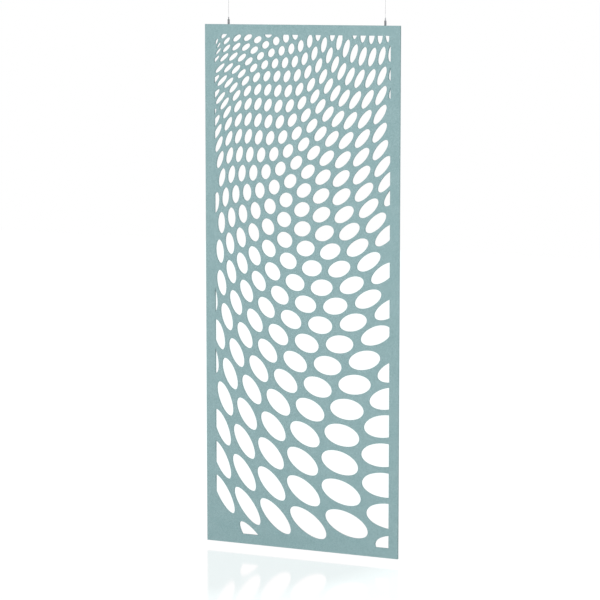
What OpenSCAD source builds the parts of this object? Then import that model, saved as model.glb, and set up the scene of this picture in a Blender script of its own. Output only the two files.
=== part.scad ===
// Hanging room divider panel.
// A felt board, cut through with a field of ovals, hangs on two steel cables.
// Each cable ends in a ball that swivels in a ceiling fitting, and the panel is
// held on it by a ball gripper screwed into the panel's top edge.
// Millimetres, +Z up, the front face looks along -Y. The origin lies on the
// ceiling, halfway between the two ceiling fittings.

/* [Panel] */
// Width of the board
panel_w = 960; // [900:10:1040]
// Height of the board
panel_h = 2400; // [2200:50:2600]
// Thickness of the board
panel_t = 12; // [11:1:18]
// Uncut border round the field of holes
border = 45; // [42:1:60]
// Radius of a hole, as a share of the spacing of the flat grid
hole_share = 0.43; // [0.38:0.01:0.44]
// Taken off the radius of each hole, so that the web round a small one stays firm
hole_trim = 4; // [3:0.5:5]
// Least share of a hole that must lie in the field for it to be cut
cut_share = 0.18; // [0.18:0.01:0.3]
// Least width of a hole that the edge of the field cuts off
cut_width = 9; // [9:1:15]

/* [Hanging points] */
// From the board's left end to the left cable
inset_left = 118; // [100:1:140]
// From the board's right end to the right cable
inset_right = 73; // [60:1:90]
// From the ceiling down to the top of the board
drop = 150; // [130:5:300]

/* [Cable] */
// Diameter of the steel cable
cable_d = 1.5; // [1:0.1:1.6]
// Free end of the cable below the top of the board
tail = 16; // [15:1:18]
// How far the board can be pushed up on its cables
lift_travel = 12; // [6:1:12]

/* [Gripper] */
// Outside diameter of the gripper's sleeve
sleeve_d = 10; // [9.5:0.5:12]
// Bore of the sleeve
sleeve_bore = 7.2; // [7:0.1:7.6]
// Diameter of the release plunger
plunger_d = 5; // [4.8:0.1:5.2]
// Height of the plunger's top above the board
plunger_top = 33; // [31:1:38]
// How far the plunger can be pressed in
press_travel = 2.5; // [1.5:0.1:2.6]
// Diameter of a clamping ball
ball_d = 2.4; // [2.2:0.1:2.5]
// Angle between the taper and the cable
taper_angle = 8; // [7:0.5:9]
// Thickness of the base's flange
flange_h = 3; // [2:0.5:4]
// Height of the base's plug inside the sleeve
plug_h = 5; // [4:0.5:5]
// Diameter of the base's stud
stud_d = 5; // [4:0.5:5]
// Length of the base's stud
stud_len = 14; // [10:1:15]
// Diameter of the spring's wire
spring_wire = 0.5; // [0.4:0.05:0.6]
// Turns of the spring
spring_turns = 3.5; // [3:0.5:3.5]

/* [Insert] */
// Outside diameter of the insert in the board's edge
insert_d = 8; // [7.5:0.1:8.5]
// Length of the insert
insert_len = 18; // [16:1:20]

/* [Ceiling fitting] */
// Diameter of the stub screwed to the ceiling
stub_d = 10; // [10:0.5:11]
// Height of the stub
stub_h = 8; // [7:0.5:8.5]
// Hole for the ceiling screw
screw_hole_d = 4.2; // [3.5:0.1:4.5]
// Outside diameter of the cap
cap_d = 16; // [15:0.5:20]
// Height of the cap
cap_h = 18; // [17:0.5:22]
// Diameter of the ball on the cable's end
end_ball_d = 6; // [5.5:0.1:6.2]
// How far the panel can swing to either side
swing_angle = 10; // [5:1:10]

/* [Hidden] */
$fn = 48;

felt_colour = [0.59, 0.70, 0.71];
steel_colour = [0.45, 0.47, 0.49];
bright_colour = [0.72, 0.73, 0.75];
brass_colour = [0.72, 0.60, 0.36];

// Clearances
thread_gap = 0.06;      // screwed pieces, whose threads are drawn as plain cylinders
slide_gap = 0.06;       // plunger in the sleeve
socket_gap = 0.05;      // insert in the board
cable_gap = 0.35;       // cable in the bores that it passes through
clamp_gap = 0.04;       // clamping balls to the cable and to the taper
swage_gap = 0.05;       // cable in its end ball
seat_gap = 0.05;        // end ball in its seat, spring on its seats
window_gap = 0.05;      // clamping balls in the plunger's windows
pocket_gap = 0.95;      // cable's free end in its pocket
well_gap = 0.4;         // end ball in the well above its seat
edge_break = 0.4;       // chamfer on turned pieces
over = 1;               // how far a cut runs past a face

// Hanging points and main levels
span = panel_w - inset_left - inset_right;
left_x = -span / 2;
right_x = span / 2;
panel_left = left_x - inset_left;
panel_top = -drop;
panel_bottom = panel_top - panel_h;

cable_r = cable_d / 2;
bore_r = cable_r + cable_gap;

// ---- Field of holes ----
// The field is a triangular grid of circles on a flat sheet. The sheet is then
// pulled to shape by a triangular net of guide points, as a degree-five Bezier
// triangle. A grid place is [column, step], and a guide point is a fraction of
// the board's width and height from its lower left corner.
grid_top_left = [-16, -20];
grid_top_right = [14, -3];
grid_bottom = [-6, 10];
guide_net = [
    [[0.10, 0.94], [-0.37, 0.99], [1.73, 1.43], [-0.87, 0.23], [3.18, 2.24], [-2.09, -0.01]],
    [[-0.11, 1.00], [1.31, 1.05], [0.11, 0.82], [0.74, 0.21], [3.50, 2.25]],
    [[0.36, 0.71], [-0.27, 0.96], [-0.10, 0.57], [-0.08, -0.07]],
    [[-0.46, 1.04], [0.07, 0.75], [1.17, 0.95]],
    [[-0.79, -0.30], [-0.12, 0.13]],
    [[1.82, 0.02]]
];
net_order = len(guide_net) - 1;
grid_columns = [-18:9];
grid_steps = [-24:12];
sheet_left = -0.1;      // grid places past these shares lie off the sheet
sheet_right = 0.7;
sheet_top = 0.93;
along_row = [2, 1] / sqrt(3);   // one grid spacing to the right, and one up
along_column = [0, -1];

function factorial(n) = n < 2 ? 1 : n * factorial(n - 1);

function cross_of(a, b, c) = (b.x - a.x) * (c.y - a.y) - (b.y - a.y) * (c.x - a.x);

// Shares of the three corners of the sheet in a grid place
function shares(p) =
    let (whole = cross_of(grid_top_left, grid_top_right, grid_bottom))
    [cross_of(p, grid_top_right, grid_bottom) / whole,
     cross_of(grid_top_left, p, grid_bottom) / whole,
     cross_of(grid_top_left, grid_top_right, p) / whole];

function net_weight(s, down, across) =
    factorial(net_order) / factorial(down) / factorial(across)
    / factorial(net_order - down - across)
    * pow(s[2], down) * pow(s[1], across) * pow(s[0], net_order - down - across);

function total(v, i = 0) = i == len(v) - 1 ? v[i] : v[i] + total(v, i + 1);

// Place on the board that the net pulls a grid place to
function pulled(p) =
    let (s = shares(p))
    let (f = total([for (down = [0:net_order], across = [0:net_order - down])
                    net_weight(s, down, across) * guide_net[down][across]]))
    [f.x * panel_w, f.y * panel_h];

// Share of a pulled circle that is left with the trim taken off its radius
least_left = 0.5;
function left_of(u, v) = max(least_left, 1 - hole_trim / sqrt(abs(cross(u, v))));

// A pulled circle as its centre and two half diameters: it becomes an oval
function oval_of(p) =
    let (e = pulled(p + hole_share * along_row), w = pulled(p - hole_share * along_row))
    let (n = pulled(p + hole_share * along_column), s = pulled(p - hole_share * along_column))
    let (u = (e - w) / 2, v = (n - s) / 2)
    [(e + w + n + s) / 4, left_of(u, v) * u, left_of(u, v) * v];

// Half of the oval's width and height
function reach(o) = [norm([o[1].x, o[2].x]), norm([o[1].y, o[2].y])];

// Length of an oval across or up that lies in the field
function length_inside(middle, half, size) =
    min(middle + half, size - border) - max(middle - half, border);

function width_inside(o) = length_inside(o[0].x, reach(o).x, panel_w);
function height_inside(o) = length_inside(o[0].y, reach(o).y, panel_h);

function share_inside(o) =
    min(width_inside(o) / reach(o).x, height_inside(o) / reach(o).y) / 2;

function is_cut(o) =
    share_inside(o) > cut_share && min(width_inside(o), height_inside(o)) > cut_width;

function on_sheet(p) =
    let (s = shares(p))
    s[1] > sheet_left && s[1] < sheet_right && s[0] < sheet_top;

module oval(o) {
    multmatrix([
        [o[1].x, o[2].x, 0, o[0].x],
        [o[1].y, o[2].y, 0, o[0].y],
        [0, 0, 1, 0],
        [0, 0, 0, 1]
    ])
        circle(r = 1);
}

module field_frame() {
    translate([border, border])
        square([panel_w - 2 * border, panel_h - 2 * border]);
}

module field_hole(o) {
    if (share_inside(o) > 0.999) {
        oval(o);
    } else if (is_cut(o)) {
        intersection() {
            field_frame();
            oval(o);
        }
    }
}

module board_outline() {
    difference() {
        square([panel_w, panel_h]);
        for (column = grid_columns, step = grid_steps)
            if (on_sheet([column, step]))
                field_hole(oval_of([column, step]));
    }
}

// ---- Panel ----
tail_room = 6;          // left under the cable's free end with the board pushed up
tail_depth = tail + lift_travel + tail_room;
insert_r = insert_d / 2;

// Socket for the insert, with a pocket for the cable's free end below it
module edge_socket() {
    translate([0, 0, -insert_len])
        cylinder(r = insert_r + socket_gap, h = insert_len + over);
    translate([0, 0, -tail_depth])
        cylinder(r = cable_r + pocket_gap, h = tail_depth);
}

module panel() {
    color(felt_colour)
        difference() {
            translate([panel_left, panel_t / 2, panel_bottom])
                rotate([90, 0, 0])
                    linear_extrude(height = panel_t)
                        board_outline();
            for (x = [left_x, right_x])
                translate([x, 0, panel_top])
                    edge_socket();
        }
}

// ---- Insert: a ribbed sleeve pressed into the board's top edge ----
stud_r = stud_d / 2;
insert_bore_r = stud_r + thread_gap;
rib_count = 4;
rib_depth = 0.35;
rib_pitch = insert_len / (rib_count + 1);
rib_run = rib_pitch * 0.45;

module insert() {
    color(brass_colour)
        difference() {
            translate([0, 0, -insert_len])
                cylinder(r = insert_r, h = insert_len);
            translate([0, 0, -insert_len - over])
                cylinder(r = insert_bore_r, h = insert_len + 2 * over);
            for (rib = [1:rib_count])
                translate([0, 0, -rib * rib_pitch])
                    rotate_extrude()
                        polygon([
                            [insert_r - rib_depth, 0],
                            [insert_r + over, 0],
                            [insert_r + over, rib_run],
                            [insert_r, rib_run]
                        ]);
        }
}

// ---- Gripper base: stud, flange and the plug that closes the sleeve ----
sleeve_r = sleeve_d / 2;
sleeve_bore_r = sleeve_bore / 2;
plug_top = flange_h + plug_h;

module gripper_base() {
    color(steel_colour)
        difference() {
            rotate_extrude()
                polygon([
                    [0, -stud_len],
                    [stud_r - edge_break, -stud_len],
                    [stud_r, -stud_len + edge_break],
                    [stud_r, 0],
                    [sleeve_r, 0],
                    [sleeve_r, flange_h],
                    [sleeve_bore_r - thread_gap, flange_h],
                    [sleeve_bore_r - thread_gap, plug_top],
                    [0, plug_top]
                ]);
            translate([0, 0, -stud_len - over])
                cylinder(r = bore_r, h = stud_len + plug_top + 2 * over);
        }
}

// ---- Gripper sleeve: its taper wedges the balls against the cable ----
plunger_r = plunger_d / 2;
plunger_hole_r = plunger_r + slide_gap;
ball_r = ball_d / 2;
ball_ring_r = cable_r + clamp_gap + ball_r;
taper_slope = tan(taper_angle);
taper_r_at_ball = ball_ring_r + (ball_r + clamp_gap) / cos(taper_angle);
collar_h = 1;
collar_out = 0.8;
spring_spare = 0.4;     // left between the turns with the plunger pressed in
spring_len = press_travel + (spring_turns + 1) * spring_wire + spring_spare;
collar_z = plug_top + spring_len;
ball_above_collar = 0.8;
ball_z = collar_z + collar_h + ball_above_collar + ball_r;
taper_low = ball_z - (sleeve_bore_r - taper_r_at_ball) / taper_slope;
taper_high = ball_z + (taper_r_at_ball - plunger_hole_r) / taper_slope;
sleeve_lip = 1.2;
sleeve_top = taper_high + sleeve_lip;
sleeve_chamfer = 0.8;

module gripper_sleeve() {
    color(steel_colour)
        rotate_extrude()
            polygon([
                [sleeve_bore_r, flange_h],
                [sleeve_r, flange_h],
                [sleeve_r, sleeve_top - sleeve_chamfer],
                [sleeve_r - sleeve_chamfer, sleeve_top],
                [plunger_hole_r, sleeve_top],
                [plunger_hole_r, taper_high],
                [sleeve_bore_r, taper_low]
            ]);
}

// ---- Release plunger: push button and ball cage in one turned piece ----
collar_r = plunger_r + collar_out;
ball_turn = 120;

module release_plunger() {
    color(bright_colour)
        difference() {
            rotate_extrude()
                polygon([
                    [bore_r, collar_z],
                    [collar_r, collar_z],
                    [collar_r, collar_z + collar_h],
                    [plunger_r, collar_z + collar_h],
                    [plunger_r, plunger_top - edge_break],
                    [plunger_r - edge_break, plunger_top],
                    [bore_r + edge_break, plunger_top],
                    [bore_r, plunger_top - edge_break]
                ]);
            for (turn = [0, 1, 2])
                rotate([0, 90, turn * ball_turn])
                    translate([-ball_z, 0, 0])
                        cylinder(r = ball_r + window_gap, h = collar_r + over);
        }
}

module gripper_ball(turn) {
    color(bright_colour)
        rotate([0, 0, turn * ball_turn])
            translate([ball_ring_r, 0, ball_z])
                sphere(r = ball_r);
}

// ---- Spring: presses the cage up into the taper ----
spring_r = (collar_r + sleeve_bore_r) / 2 - spring_wire;
spring_sides = 6;
rings_per_turn = 10;
spring_rings = round(spring_turns * rings_per_turn);
spring_foot = plug_top + seat_gap + spring_wire / 2;
spring_rise = spring_len - 2 * seat_gap - spring_wire;

function ring_faces(ring, sides) = [
    for (k = [0:sides - 1], half = [0, 1])
        let (a = ring * sides + k, b = ring * sides + (k + 1) % sides)
        half == 0 ? [a, a + sides, b] : [b, a + sides, b + sides]
];

// Skin of a tube whose points go ring by ring, closed by a fan at each end
function tube_faces(rings, sides) = concat(
    [for (ring = [0:rings - 2], f = ring_faces(ring, sides)) f],
    [for (k = [1:sides - 2]) [0, k, k + 1]],
    [for (k = [1:sides - 2]) (rings - 1) * sides * [1, 1, 1] + [0, k + 1, k]]
);

function spring_point(ring, k) =
    let (turn = 360 * ring / rings_per_turn, side = 360 * k / spring_sides)
    let (out = spring_r + spring_wire / 2 * cos(side))
    [out * cos(turn),
     out * sin(turn),
     spring_foot + spring_rise * ring / spring_rings + spring_wire / 2 * sin(side)];

module gripper_spring() {
    color(bright_colour)
        polyhedron(
            points = [for (ring = [0:spring_rings], k = [0:spring_sides - 1]) spring_point(ring, k)],
            faces = tube_faces(spring_rings + 1, spring_sides)
        );
}

// ---- Cable end: a ball pressed on the cable, which swivels in the cap ----
end_ball_r = end_ball_d / 2;
end_ball_gap = 2;
end_ball_z = -stub_h - end_ball_gap - end_ball_r;

module cable_end() {
    color(bright_colour)
        difference() {
            translate([0, 0, end_ball_z])
                sphere(r = end_ball_r);
            translate([0, 0, end_ball_z - end_ball_r - over])
                cylinder(r = cable_r + swage_gap, h = end_ball_d + 2 * over);
        }
}

// ---- Ceiling stub: screwed to the ceiling through its countersunk hole ----
stub_r = stub_d / 2;
screw_hole_r = screw_hole_d / 2;
countersink = 1.8;
countersink_r = screw_hole_r + countersink;

module ceiling_stub() {
    color(steel_colour)
        rotate_extrude()
            polygon([
                [screw_hole_r, 0],
                [stub_r, 0],
                [stub_r, -stub_h + edge_break],
                [stub_r - edge_break, -stub_h],
                [countersink_r, -stub_h],
                [screw_hole_r, -stub_h + countersink]
            ]);
}

// ---- Ceiling cap: screws over the stub and carries the ball ----
cap_r = cap_d / 2;
cap_bore_r = stub_r + thread_gap;
cap_well_r = end_ball_r + well_gap;
cap_chamfer = 1.2;
exit_margin = 0.25;
exit_r = cable_r / cos(swing_angle) + (cap_h + end_ball_z) * tan(swing_angle) + exit_margin;

module ceiling_cap() {
    color(steel_colour)
        difference() {
            rotate_extrude()
                polygon([
                    [0, 0],
                    [cap_r, 0],
                    [cap_r, -cap_h + cap_chamfer],
                    [cap_r - cap_chamfer, -cap_h],
                    [0, -cap_h]
                ]);
            translate([0, 0, -stub_h])
                cylinder(r = cap_bore_r, h = stub_h + over);
            translate([0, 0, end_ball_z])
                cylinder(r = cap_well_r, h = -end_ball_z);
            translate([0, 0, end_ball_z])
                sphere(r = end_ball_r + seat_gap);
            translate([0, 0, -cap_h - over])
                cylinder(r = exit_r, h = cap_h + end_ball_z + over);
        }
}

// ---- Cable: hangs straight from the ceiling into the board's edge ----
cable_sides = 8;
cable_ring_step = 3 * cable_d;
cable_route = [
    [0, 0, end_ball_z + end_ball_r - swage_gap],
    [0, 0, panel_top - tail]
];
cable_len = norm(cable_route[1] - cable_route[0]);
cable_rings = ceil(cable_len / cable_ring_step);

function cable_point(ring, k) =
    let (side = 360 * k / cable_sides, part = ring / cable_rings)
    cable_route[0] * (1 - part) + cable_route[1] * part
    + [cable_r * cos(side), -cable_r * sin(side), 0];

module cable() {
    color(bright_colour)
        polyhedron(
            points = [for (ring = [0:cable_rings], k = [0:cable_sides - 1]) cable_point(ring, k)],
            faces = tube_faces(cable_rings + 1, cable_sides)
        );
}

// ---- Placing ----
module on_ceiling(x) {
    translate([x, 0, 0])
        children();
}

module on_board(x) {
    translate([x, 0, panel_top])
        children();
}

panel();
on_board(left_x) insert();  // insert_left
on_board(right_x) insert();  // insert_right
on_board(left_x) gripper_base();  // gripper_base_left
on_board(right_x) gripper_base();  // gripper_base_right
on_board(left_x) gripper_sleeve();  // gripper_sleeve_left
on_board(right_x) gripper_sleeve();  // gripper_sleeve_right
on_board(left_x) gripper_spring();  // gripper_spring_left
on_board(right_x) gripper_spring();  // gripper_spring_right
on_board(left_x) release_plunger();  // release_plunger_left
on_board(right_x) release_plunger();  // release_plunger_right
on_board(left_x) gripper_ball(0);  // gripper_ball_left_1
on_board(left_x) gripper_ball(1);  // gripper_ball_left_2
on_board(left_x) gripper_ball(2);  // gripper_ball_left_3
on_board(right_x) gripper_ball(0);  // gripper_ball_right_1
on_board(right_x) gripper_ball(1);  // gripper_ball_right_2
on_board(right_x) gripper_ball(2);  // gripper_ball_right_3
on_ceiling(left_x) cable();  // cable_left
on_ceiling(right_x) cable();  // cable_right
on_ceiling(left_x) cable_end();  // cable_end_left
on_ceiling(right_x) cable_end();  // cable_end_right
on_ceiling(left_x) ceiling_stub();  // ceiling_stub_left
on_ceiling(right_x) ceiling_stub();  // ceiling_stub_right
on_ceiling(left_x) ceiling_cap();  // ceiling_cap_left
on_ceiling(right_x) ceiling_cap();  // ceiling_cap_right
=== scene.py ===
import math

import bmesh
import bpy
import numpy as np
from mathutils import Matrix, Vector


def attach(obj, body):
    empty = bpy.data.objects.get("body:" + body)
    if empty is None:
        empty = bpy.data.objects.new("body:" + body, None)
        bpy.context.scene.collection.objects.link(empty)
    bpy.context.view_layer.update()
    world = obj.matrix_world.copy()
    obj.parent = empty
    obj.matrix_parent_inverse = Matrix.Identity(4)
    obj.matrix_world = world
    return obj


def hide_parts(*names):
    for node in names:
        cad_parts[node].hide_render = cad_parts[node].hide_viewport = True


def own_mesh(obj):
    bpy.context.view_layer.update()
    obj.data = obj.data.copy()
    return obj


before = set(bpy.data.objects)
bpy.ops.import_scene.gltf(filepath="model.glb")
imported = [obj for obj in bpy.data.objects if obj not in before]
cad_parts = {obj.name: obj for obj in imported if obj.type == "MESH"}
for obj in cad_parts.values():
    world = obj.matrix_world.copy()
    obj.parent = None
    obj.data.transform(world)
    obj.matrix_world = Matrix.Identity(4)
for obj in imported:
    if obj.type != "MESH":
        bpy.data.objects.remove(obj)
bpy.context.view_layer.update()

# The camera stands to the right of the board and a little above its top edge,
# and looks down across its front face.
camera_tilt, camera_turn = 7.454, 24.378
camera_data = bpy.data.cameras.new("camera")
camera_data.sensor_width = 36
camera_data.lens = 150
camera_data.clip_end = 60
camera = bpy.data.objects.new("camera", camera_data)
camera.location = (4.6213, -10.2624, 0.0806)
camera.rotation_euler = (math.radians(90 - camera_tilt), 0, math.radians(camera_turn))
bpy.context.scene.collection.objects.link(camera)
bpy.context.scene.camera = camera


# Cables. Each is a steel rope of six strands laid round a core, 1.5 mm thick.
# It hangs straight down from its swivel ball, runs through the gripper and
# ends in a pocket in the board's top edge.
hang_x = {"left": -0.3845, "right": 0.3845}
cable_top, cable_foot = -0.01005, -0.166
cable_radius = 0.00075
strand_lay = 0.0095
rope_rings, rope_sides = 230, 36


def make_piece(name, points, faces, smooth=True):
    """A mesh object from an array of points and a list of faces."""
    data = bpy.data.meshes.new(name)
    data.from_pydata(points.tolist(), [], faces)
    data.polygons.foreach_set("use_smooth", np.full(len(data.polygons), smooth))
    data.update()
    piece = bpy.data.objects.new(name, data)
    bpy.context.scene.collection.objects.link(piece)
    return piece


def make_tube(name, points, turned=False):
    """Quads between neighbouring rings of points, and one face over each end.

    The faces are turned round where the rings run clockwise.
    """
    rings, sides, _ = points.shape
    ring, side = np.meshgrid(np.arange(rings - 1), np.arange(sides), indexing="ij")
    low, high, after = ring * sides, (ring + 1) * sides, (side + 1) % sides
    quads = np.stack([low + side, low + after, high + after, high + side], -1).reshape(-1, 4)
    first, last = list(range(sides)), list(range((rings - 1) * sides, rings * sides))
    faces = quads.tolist() + [first[::-1], last]
    if turned:
        faces = [face[::-1] for face in faces]
    return make_piece(name, points.reshape(-1, 3), faces)


def strand_reach(angle):
    """Distance from the rope's middle to the outer arc of six round strands, at an angle.

    Each strand is a third of the rope wide and lies two of its radii off the middle.
    """
    strand = cable_radius / 3
    off = (angle + math.pi / 6) % (math.pi / 3) - math.pi / 6
    arc = np.maximum(strand**2 - (2 * strand * np.sin(off)) ** 2, 0)
    return 2 * strand * np.cos(off) + np.sqrt(arc)


def rope(name, x):
    """Strand profile carried up a straight line, turning once in each length of lay."""
    height = np.linspace(cable_foot, cable_top, rope_rings)
    side = np.arange(rope_sides) * math.tau / rope_sides
    h, a = np.meshgrid(height, side, indexing="ij")
    r = strand_reach(a - h / strand_lay * math.tau)
    return make_tube(name, np.stack([x + r * np.cos(a), r * np.sin(a), h], -1))


def new_material(name, colour, roughness, metallic=0.0):
    """A material with plain values on its shader; returns it, its nodes, links and shader."""
    material = bpy.data.materials.new(name)
    material.use_nodes = True
    nodes, links = material.node_tree.nodes, material.node_tree.links
    shader = nodes["Principled BSDF"]
    shader.inputs["Base Color"].default_value = (*colour, 1)
    shader.inputs["Roughness"].default_value = roughness
    shader.inputs["Metallic"].default_value = metallic
    return material, nodes, links, shader


def stretched_noise(nodes, links, scale, stretch=(1, 1, 1), turn=(0, 0, 0), detail=4.0):
    """Noise on object coordinates, turned and then drawn out by the stretch."""
    place = nodes.new("ShaderNodeTexCoord")
    mapping = nodes.new("ShaderNodeMapping")
    mapping.vector_type = "TEXTURE"
    mapping.inputs["Scale"].default_value = stretch
    mapping.inputs["Rotation"].default_value = turn
    noise = nodes.new("ShaderNodeTexNoise")
    noise.inputs["Scale"].default_value = scale
    noise.inputs["Detail"].default_value = detail
    links.new(place.outputs["Object"], mapping.inputs["Vector"])
    links.new(mapping.outputs["Vector"], noise.inputs["Vector"])
    return noise.outputs["Fac"]


def ranged(nodes, links, value, low, high, start=0.3, stop=0.7):
    """Maps a value linearly from start..stop to low..high."""
    node = nodes.new("ShaderNodeMapRange")
    limits = (("From Min", start), ("From Max", stop), ("To Min", low), ("To Max", high))
    for key, number in limits:
        node.inputs[key].default_value = number
    links.new(value, node.inputs["Value"])
    return node.outputs["Result"]


def shaded(nodes, links, value, dark, light, start=0.3, stop=0.7):
    """A colour between dark and light, as a value goes from start to stop."""
    ramp = nodes.new("ShaderNodeValToRGB")
    ends = zip(ramp.color_ramp.elements, (start, stop), (dark, light))
    for element, position, colour in ends:
        element.position = position
        element.color = (*colour, 1)
    links.new(value, ramp.inputs["Fac"])
    return ramp.outputs["Color"]


def bumped(nodes, links, shader, value, depth):
    """Raises the surface by a value times depth in metres."""
    bump = nodes.new("ShaderNodeBump")
    bump.inputs["Strength"].default_value = 1.0
    bump.inputs["Distance"].default_value = depth
    links.new(value, bump.inputs["Height"])
    links.new(bump.outputs["Normal"], shader.inputs["Normal"])


def rope_steel():
    """Drawn steel wire: bright along the strands, darker where oil and dirt sit between them."""
    material, nodes, links, shader = new_material("rope steel", (0.55, 0.56, 0.57), 0.34, 1.0)
    grime = stretched_noise(nodes, links, 900, (1, 1, 3))
    tone = shaded(nodes, links, grime, (0.25, 0.26, 0.27), (0.50, 0.51, 0.52))
    links.new(tone, shader.inputs["Base Color"])
    links.new(ranged(nodes, links, grime, 0.5, 0.27), shader.inputs["Roughness"])
    bumped(nodes, links, shader, stretched_noise(nodes, links, 4200, (1, 1, 5)), 0.00003)
    return material


rope_finish = rope_steel()
for side, x in hang_x.items():
    cable = rope(f"rope_{side}", x)
    cable.data.materials.append(rope_finish)
    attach(cable, "cables")
    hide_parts(f"cable_{side}")


# Turned steel fittings: ceiling stubs and caps, gripper bases and sleeves.
# Each is turned from bar and satin nickel plated, so fine rings left by the
# tool run round it.
def turned_steel(name, colour, roughness, rings):
    """Plate over lathe rings: fine bands along the axis, with a slow cloud of handling marks."""
    material, nodes, links, shader = new_material(name, colour, roughness, 1.0)
    band = stretched_noise(nodes, links, rings, (50, 50, 1))
    cloud = stretched_noise(nodes, links, 220)
    darker, lighter = (tuple(share * c for c in colour) for share in (0.86, 1.08))
    links.new(shaded(nodes, links, cloud, darker, lighter), shader.inputs["Base Color"])
    gloss = ranged(nodes, links, band, roughness - 0.06, roughness + 0.1)
    links.new(gloss, shader.inputs["Roughness"])
    bumped(nodes, links, shader, band, 0.00002)
    shader.inputs["Anisotropic"].default_value = 0.3
    return material


def dress(node, material):
    """Gives a carried CAD node its material."""
    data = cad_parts[node].data
    data.materials.clear()
    data.materials.append(material)


satin = turned_steel("satin nickel", (0.18, 0.19, 0.20), 0.34, 5200)
for side in hang_x:
    for part in ("ceiling_stub", "ceiling_cap", "gripper_base", "gripper_sleeve"):
        dress(f"{part}_{side}", satin)


# Bright steel: swivel balls, release plungers and clamping balls. The balls
# are hardened and polished, and the plungers turned from bar.
polished = turned_steel("polished steel", (0.50, 0.51, 0.52), 0.16, 6400)
plunger_steel = turned_steel("plunger steel", (0.26, 0.27, 0.28), 0.26, 7000)
for side in hang_x:
    dress(f"cable_end_{side}", polished)
    dress(f"release_plunger_{side}", plunger_steel)
    for count in (1, 2, 3):
        dress(f"gripper_ball_{side}_{count}", polished)


# Springs: coils wound from drawn wire, with their end turns closed flat. Each
# stands on the base's plug and presses the plunger's collar up.
coil_radius, coil_wire, coil_turns = 0.00295, 0.00025, 3.5
coil_foot, coil_height = -0.14195, 0.00505
coil_rings, coil_sides = 127, 10
flat_share = 0.13


def coil(name, x):
    """A round wire carried along a helix that climbs only between its two flat end turns."""
    share = np.linspace(0, 1, coil_rings)
    side = np.arange(coil_sides) * math.tau / coil_sides
    s, a = np.meshgrid(share, side, indexing="ij")
    climb = np.clip((s - flat_share) / (1 - 2 * flat_share), 0, 1)
    turn = s * coil_turns * math.tau
    out = coil_radius + coil_wire * np.cos(a)
    middle = coil_foot + coil_wire + climb * (coil_height - 2 * coil_wire)
    up = middle + coil_wire * np.sin(a)
    points = np.stack([x + out * np.cos(turn), out * np.sin(turn), up], -1)
    return make_tube(name, points, turned=True)


spring_steel = turned_steel("spring wire", (0.30, 0.30, 0.31), 0.3, 8000)
for side, x in hang_x.items():
    spring = coil(f"spring_{side}", x)
    spring.data.materials.append(spring_steel)
    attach(spring, "board")
    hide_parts(f"gripper_spring_{side}")
    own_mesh(spring)


# Inserts: ribbed sleeves turned from brass bar and pressed into the board's
# top edge, where each takes the stud of a gripper.
def turned_brass():
    """Brass with lathe rings and a dull bloom."""
    material, nodes, links, shader = new_material("turned brass", (0.62, 0.45, 0.19), 0.3, 1.0)
    bloom = stretched_noise(nodes, links, 260)
    tone = shaded(nodes, links, bloom, (0.48, 0.33, 0.13), (0.68, 0.50, 0.22))
    links.new(tone, shader.inputs["Base Color"])
    band = stretched_noise(nodes, links, 5600, (50, 50, 1))
    links.new(ranged(nodes, links, band, 0.24, 0.42), shader.inputs["Roughness"])
    bumped(nodes, links, shader, band, 0.00002)
    return material


brass = turned_brass()
for side in hang_x:
    dress(f"insert_{side}", brass)


# Board: one sheet of pressed polyester felt, 12 mm thick, cut through with
# the field of ovals. Its cut edges are eased by the knife. It hangs on the
# two grippers in its top edge.
board_left, board_foot = -0.5025, -2.55
board_width, board_height, board_half = 0.96, 2.4, 0.006
border = 0.045
eased = 0.0007

# The field is a triangular grid of circles on a flat sheet, pulled to shape by
# a triangular net of guide points, each a share of the board's width and height.
hole_share, hole_trim, least_left = 0.43, 0.004, 0.5
cut_share, cut_width = 0.18, 0.009
grid_top_left, grid_top_right, grid_bottom = (-16, -20), (14, -3), (-6, 10)
grid_columns, grid_steps = np.arange(-18.0, 10), np.arange(-24.0, 13)
sheet_left, sheet_right, sheet_top = -0.1, 0.7, 0.93
guide_net = [
    [[0.10, 0.94], [-0.37, 0.99], [1.73, 1.43], [-0.87, 0.23], [3.18, 2.24], [-2.09, -0.01]],
    [[-0.11, 1.00], [1.31, 1.05], [0.11, 0.82], [0.74, 0.21], [3.50, 2.25]],
    [[0.36, 0.71], [-0.27, 0.96], [-0.10, 0.57], [-0.08, -0.07]],
    [[-0.46, 1.04], [0.07, 0.75], [1.17, 0.95]],
    [[-0.79, -0.30], [-0.12, 0.13]],
    [[1.82, 0.02]],
]
net_order = len(guide_net) - 1


def cross_of(a, b, c):
    """Twice the area of the triangle a, b, c."""
    return (b[0] - a[0]) * (c[1] - a[1]) - (b[1] - a[1]) * (c[0] - a[0])


def sheet_shares(place):
    """Shares of the sheet's three corners in a grid place: facing triangles over the whole."""
    whole = cross_of(grid_top_left, grid_top_right, grid_bottom)
    return (cross_of(place, grid_top_right, grid_bottom) / whole,
            cross_of(grid_top_left, place, grid_bottom) / whole,
            cross_of(grid_top_left, grid_top_right, place) / whole)


def pulled(place):
    """Place on the board of a grid place: a Bezier triangle of order five over the guide net."""
    top, right, down = sheet_shares(place)
    total = np.zeros((len(top), 2))
    for below, row in enumerate(guide_net):
        for across, guide in enumerate(row):
            rest = net_order - below - across
            ways = math.comb(net_order, below) * math.comb(net_order - below, across)
            weight = ways * down**below * right**across * top**rest
            total += weight[:, None] * np.array(guide)
    return total * (board_width, board_height)


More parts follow.
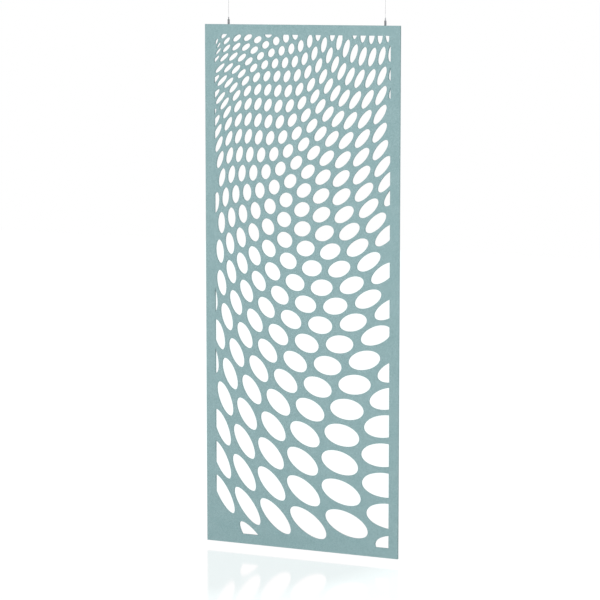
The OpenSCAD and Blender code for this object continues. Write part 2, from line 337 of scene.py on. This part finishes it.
def ovals():
    """Centre and two half diameters of every oval that is cut.

    A circle on the flat grid is pulled by its four ends, and the trim comes off its radius.
    An oval is left out where too little of it lies inside the border.
    """
    column, step = np.meshgrid(grid_columns, grid_steps, indexing="ij")
    place = np.stack([column.ravel(), step.ravel()])
    along_row = hole_share * np.array([[2], [1]]) / math.sqrt(3)
    along_column = hole_share * np.array([[0], [-1]])
    east, west = pulled(place + along_row), pulled(place - along_row)
    north, south = pulled(place + along_column), pulled(place - along_column)
    centre = (east + west + north + south) / 4
    across, along = (east - west) / 2, (north - south) / 2
    radius = np.sqrt(np.abs(across[:, 0] * along[:, 1] - across[:, 1] * along[:, 0]))
    left = np.maximum(least_left, 1 - hole_trim / radius)[:, None]
    across, along = left * across, left * along
    reach = np.hypot(across, along)
    low, high = np.array([border, border]), np.array([board_width - border, board_height - border])
    inside = np.minimum(centre + reach, high) - np.maximum(centre - reach, low)
    top, right, _ = sheet_shares(place)
    cut = (right > sheet_left) & (right < sheet_right) & (top < sheet_top)
    cut &= ((inside / reach).min(1) / 2 > cut_share) & (inside.min(1) > cut_width)
    return centre[cut], across[cut], along[cut]


chord_error, least_step, weld = 0.000035, 0.0004, 0.00001


def oval_loop(centre, across, along):
    """Points round an oval, more on a larger one, so that no chord lies far off the curve."""
    widest = np.hypot(across, along).max()
    count = math.ceil(math.pi / math.acos(1 - chord_error / widest))
    turn = np.arange(count) * math.tau / count
    return centre + np.outer(np.cos(turn), across) + np.outer(np.sin(turn), along)


def clipped(loop):
    """A loop of points cut off at the field's straight edges, side by side."""
    sides = ((0, border, 1), (0, board_width - border, -1),
             (1, border, 1), (1, board_height - border, -1))
    for axis, edge, sign in sides:
        depth = (loop[:, axis] - edge) * sign
        after, ahead = np.roll(loop, -1, 0), np.roll(depth, -1)
        crossing = (depth > 0) != (ahead > 0)
        share = depth / np.where(crossing, depth - ahead, 1)
        meet = loop + share[:, None] * (after - loop)
        rows = np.stack([loop, meet], 1).reshape(-1, 2)
        loop = rows[np.stack([depth > 0, crossing], 1).ravel()]
    return loop


def spaced(loop):
    """Drops the points of a loop that stand too close to the one before."""
    return loop[np.linalg.norm(loop - np.roll(loop, 1, 0), axis=1) > least_step]


def applied(shape):
    """The mesh that an object shows, with its modifiers applied."""
    bpy.context.view_layer.update()
    graph = bpy.context.evaluated_depsgraph_get()
    return bpy.data.meshes.new_from_object(shape.evaluated_get(graph))


def board_mesh():
    """The board's outline and its ovals as one filled flat curve, thickened and with eased edges.

    The curve lies flat, so it is then stood up with its front to -Y.
    """
    outline = np.array([[0, 0], [board_width, 0], [board_width, board_height], [0, board_height]])
    curve = bpy.data.curves.new("board", "CURVE")
    curve.dimensions = "2D"
    curve.fill_mode = "BOTH"
    curve.extrude = board_half - eased
    curve.bevel_depth = eased
    curve.bevel_resolution = 0
    curve.offset = -eased
    for loop in [outline] + [spaced(clipped(oval_loop(*oval))) for oval in zip(*ovals())]:
        spline = curve.splines.new("POLY")
        spline.points.add(len(loop) - 1)
        points = np.column_stack([loop, np.zeros(len(loop)), np.ones(len(loop))])
        spline.points.foreach_set("co", points.ravel())
        spline.use_cyclic_u = True
    shape = bpy.data.objects.new("board_curve", curve)
    bpy.context.scene.collection.objects.link(shape)
    data = applied(shape)
    bpy.data.objects.remove(shape)
    joined = bmesh.new()
    joined.from_mesh(data)
    bmesh.ops.remove_doubles(joined, verts=joined.verts, dist=weld)
    joined.to_mesh(data)
    joined.free()
    flat = np.empty(len(data.vertices) * 3)
    data.vertices.foreach_get("co", flat)
    flat = flat.reshape(-1, 3)
    stood = np.column_stack([flat[:, 0] + board_left, -flat[:, 2], flat[:, 1] + board_foot])
    data.vertices.foreach_set("co", stood.ravel())
    data.update()
    facing = np.empty(len(data.polygons) * 3)
    data.polygons.foreach_get("normal", facing)
    in_edge = np.abs(facing.reshape(-1, 3)[:, 1]) < 0.999
    data.polygons.foreach_set("use_smooth", in_edge)
    return data


socket_radius, socket_depth = 0.00405, 0.018
pocket_radius, pocket_depth = 0.0017, 0.034
drill_sides, drill_over = 32, 0.001


def drill(name, x):
    """The space of an insert's socket over a cable's pocket: rings of two radii, stacked."""
    top = board_foot + board_height
    radius = np.array([pocket_radius, pocket_radius, socket_radius, socket_radius])
    height = top + np.array([-pocket_depth, -socket_depth, -socket_depth, drill_over])
    side = np.arange(drill_sides) * math.tau / drill_sides
    across, along = np.outer(radius, np.cos(side)), np.outer(radius, np.sin(side))
    up = np.repeat(height[:, None], drill_sides, 1)
    return make_tube(name, np.stack([x + across, along, up], -1))


def bored(board, drills):
    """The board's mesh with each drill's space taken out of it."""
    for tool in drills:
        cut = board.modifiers.new(tool.name, "BOOLEAN")
        cut.operation = "DIFFERENCE"
        cut.solver = "MANIFOLD"
        cut.object = tool
    data = applied(board)
    data.materials.clear()
    board.modifiers.clear()
    for tool in drills:
        bpy.data.objects.remove(tool)
    return data


board = bpy.data.objects.new("felt_board", board_mesh())
bpy.context.scene.collection.objects.link(board)
board.data = bored(board, [drill(f"drill_{side}", x) for side, x in hang_x.items()])
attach(board, "board")
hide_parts("panel")


def greater(nodes, links, one, other):
    """The greater of two values."""
    join = nodes.new("ShaderNodeMath")
    join.operation = "MAXIMUM"
    links.new(one, join.inputs[0])
    links.new(other, join.inputs[1])
    return join.outputs["Value"]


def fibres(nodes, links, turns, scale, stretch):
    """The greatest of several drawn-out noises, one for each turn."""
    best = None
    for turn in turns:
        one = stretched_noise(nodes, links, scale, (1, 1, stretch), turn, 2.0)
        best = one if best is None else greater(nodes, links, best, one)
    return best


def times(nodes, links, colour, tone):
    """Two colours multiplied."""
    blend = nodes.new("ShaderNodeMix")
    blend.data_type = "RGBA"
    blend.blend_type = "MULTIPLY"
    blend.inputs[0].default_value = 1.0
    links.new(colour, blend.inputs[6])
    links.new(tone, blend.inputs[7])
    return blend.outputs[2]


mat_turns = ((0.3, 0.2, 0), (-0.3, 1.25, 0.2), (0.2, 2.3, -0.2))
pale_turns = ((0.2, 0.75, 0), (-0.2, 1.8, 0.1), (0.1, 2.85, -0.1))


def pressed_felt():
    """Short fibres lying every way, some of them pale, over a cloudy and mottled teal."""
    material, nodes, links, shader = new_material("pressed felt", (0.31, 0.445, 0.455), 0.95)
    mat = fibres(nodes, links, mat_turns, 1900, 8)
    pale = fibres(nodes, links, pale_turns, 1300, 14)
    mottle = stretched_noise(nodes, links, 130, detail=3.0)
    cloud = stretched_noise(nodes, links, 14, detail=5.0)
    colour = shaded(nodes, links, mat, (0.243, 0.385, 0.399), (0.398, 0.57, 0.586), 0.48, 0.72)
    for value, dark, light, start, stop in (
        (pale, (0.97, 0.97, 0.97), (1.3, 1.26, 1.25), 0.66, 0.74),
        (mottle, (0.905, 0.92, 0.92), (1.065, 1.05, 1.05), 0.3, 0.7),
        (cloud, (0.94, 0.955, 0.955), (1.01, 1.0, 1.0), 0.35, 0.65),
    ):
        colour = times(nodes, links, colour, shaded(nodes, links, value, dark, light, start, stop))
    links.new(colour, shader.inputs["Base Color"])
    shader.inputs["Sheen Weight"].default_value = 0.15
    shader.inputs["Sheen Roughness"].default_value = 0.5
    shader.inputs["Specular IOR Level"].default_value = 0.15
    bumped(nodes, links, shader, mat, 0.0005)
    return material


board.data.materials.append(pressed_felt())


# Studio: a white floor just under the board that mirrors it faintly, a white
# surround, and three wide soft lights, one of them behind.
floor_level, floor_reach = -2.576, 12
mirror_near, mirror_far = 0.24, 0.07


def only_seen(nodes, links):
    """1 for rays from the camera, a mirror or glass, and 0 for the rest."""
    path = nodes.new("ShaderNodeLightPath").outputs
    reflected = greater(nodes, links, path["Is Camera Ray"], path["Is Glossy Ray"])
    return greater(nodes, links, reflected, path["Is Transmission Ray"])


def mixed(nodes, links, share, first, second):
    """Two shaders mixed by a share, which is a number or a value."""
    mix = nodes.new("ShaderNodeMixShader")
    if isinstance(share, float):
        mix.inputs["Fac"].default_value = share
    else:
        links.new(share, mix.inputs["Fac"])
    links.new(first, mix.inputs[1])
    links.new(second, mix.inputs[2])
    return mix.outputs["Shader"]


def mirror_share(nodes, links):
    """Share of mirror in the floor: it falls off outside an ellipse round the board's foot."""
    place = nodes.new("ShaderNodeTexCoord")
    ellipse = nodes.new("ShaderNodeMapping")
    ellipse.vector_type = "TEXTURE"
    ellipse.inputs["Location"].default_value = (-0.2, 0, floor_level)
    ellipse.inputs["Scale"].default_value = (0.7, 0.95, 1)
    off = nodes.new("ShaderNodeVectorMath")
    off.operation = "LENGTH"
    links.new(place.outputs["Object"], ellipse.inputs["Vector"])
    links.new(ellipse.outputs["Vector"], off.inputs[0])
    return ranged(nodes, links, off.outputs["Value"], mirror_near, mirror_far, 0.75, 1.1)


def white_floor():
    """White at full strength, with some of the shadow on it and a mirror that fades off.

    Rays that light the board see only the plain white.
    """
    material, nodes, links, shader = new_material("white floor", (0.9, 0.9, 0.9), 0.6)
    glow = nodes.new("ShaderNodeEmission")
    glow.inputs["Color"].default_value = (0.93, 1, 1, 1)
    glow.inputs["Strength"].default_value = 1.13
    mirror = nodes.new("ShaderNodeBsdfGlossy")
    mirror.inputs["Roughness"].default_value = 0.1
    mirror.inputs["Color"].default_value = (1, 0.7, 0.7, 1)
    plain = shader.outputs["BSDF"]
    lit = mixed(nodes, links, 0.04, glow.outputs["Emission"], plain)
    sheen = mixed(nodes, links, mirror_share(nodes, links), lit, mirror.outputs["BSDF"])
    surface = mixed(nodes, links, only_seen(nodes, links), plain, sheen)
    links.new(surface, nodes["Material Output"].inputs["Surface"])
    return material


corners = np.array([[-1, -1], [1, -1], [1, 1], [-1, 1]]) * float(floor_reach)
floor_points = np.column_stack([corners, np.full(len(corners), floor_level)])
floor = make_piece("floor", floor_points, [[0, 1, 2, 3]], smooth=False)
floor.data.materials.append(white_floor())

world = bpy.data.worlds.new("studio")
bpy.context.scene.world = world
world.use_nodes = True
world_nodes, world_links = world.node_tree.nodes, world.node_tree.links
surround = world_nodes["Background"]
surround.inputs["Color"].default_value = (1, 1, 1, 1)
strength = ranged(world_nodes, world_links, only_seen(world_nodes, world_links), 0.62, 1.0, 0, 1)
world_links.new(strength, surround.inputs["Strength"])

board_middle = Vector((0, 0, -1.3))
for name, place, size, power in (
    ("key light", (-2.6, -5.2, 1.6), 3.0, 92),
    ("fill light", (4.2, -4.6, 0.9), 3.0, 100),
    ("back light", (1.2, 6.5, 0.2), 3.5, 120),
):
    lamp_data = bpy.data.lights.new(name, "AREA")
    lamp_data.size = size
    lamp_data.energy = power
    lamp = bpy.data.objects.new(name, lamp_data)
    lamp.location = place
    lamp.rotation_euler = (board_middle - Vector(place)).to_track_quat("-Z", "Y").to_euler()
    bpy.context.scene.collection.objects.link(lamp)

bpy.context.scene.view_settings.view_transform = "Standard"
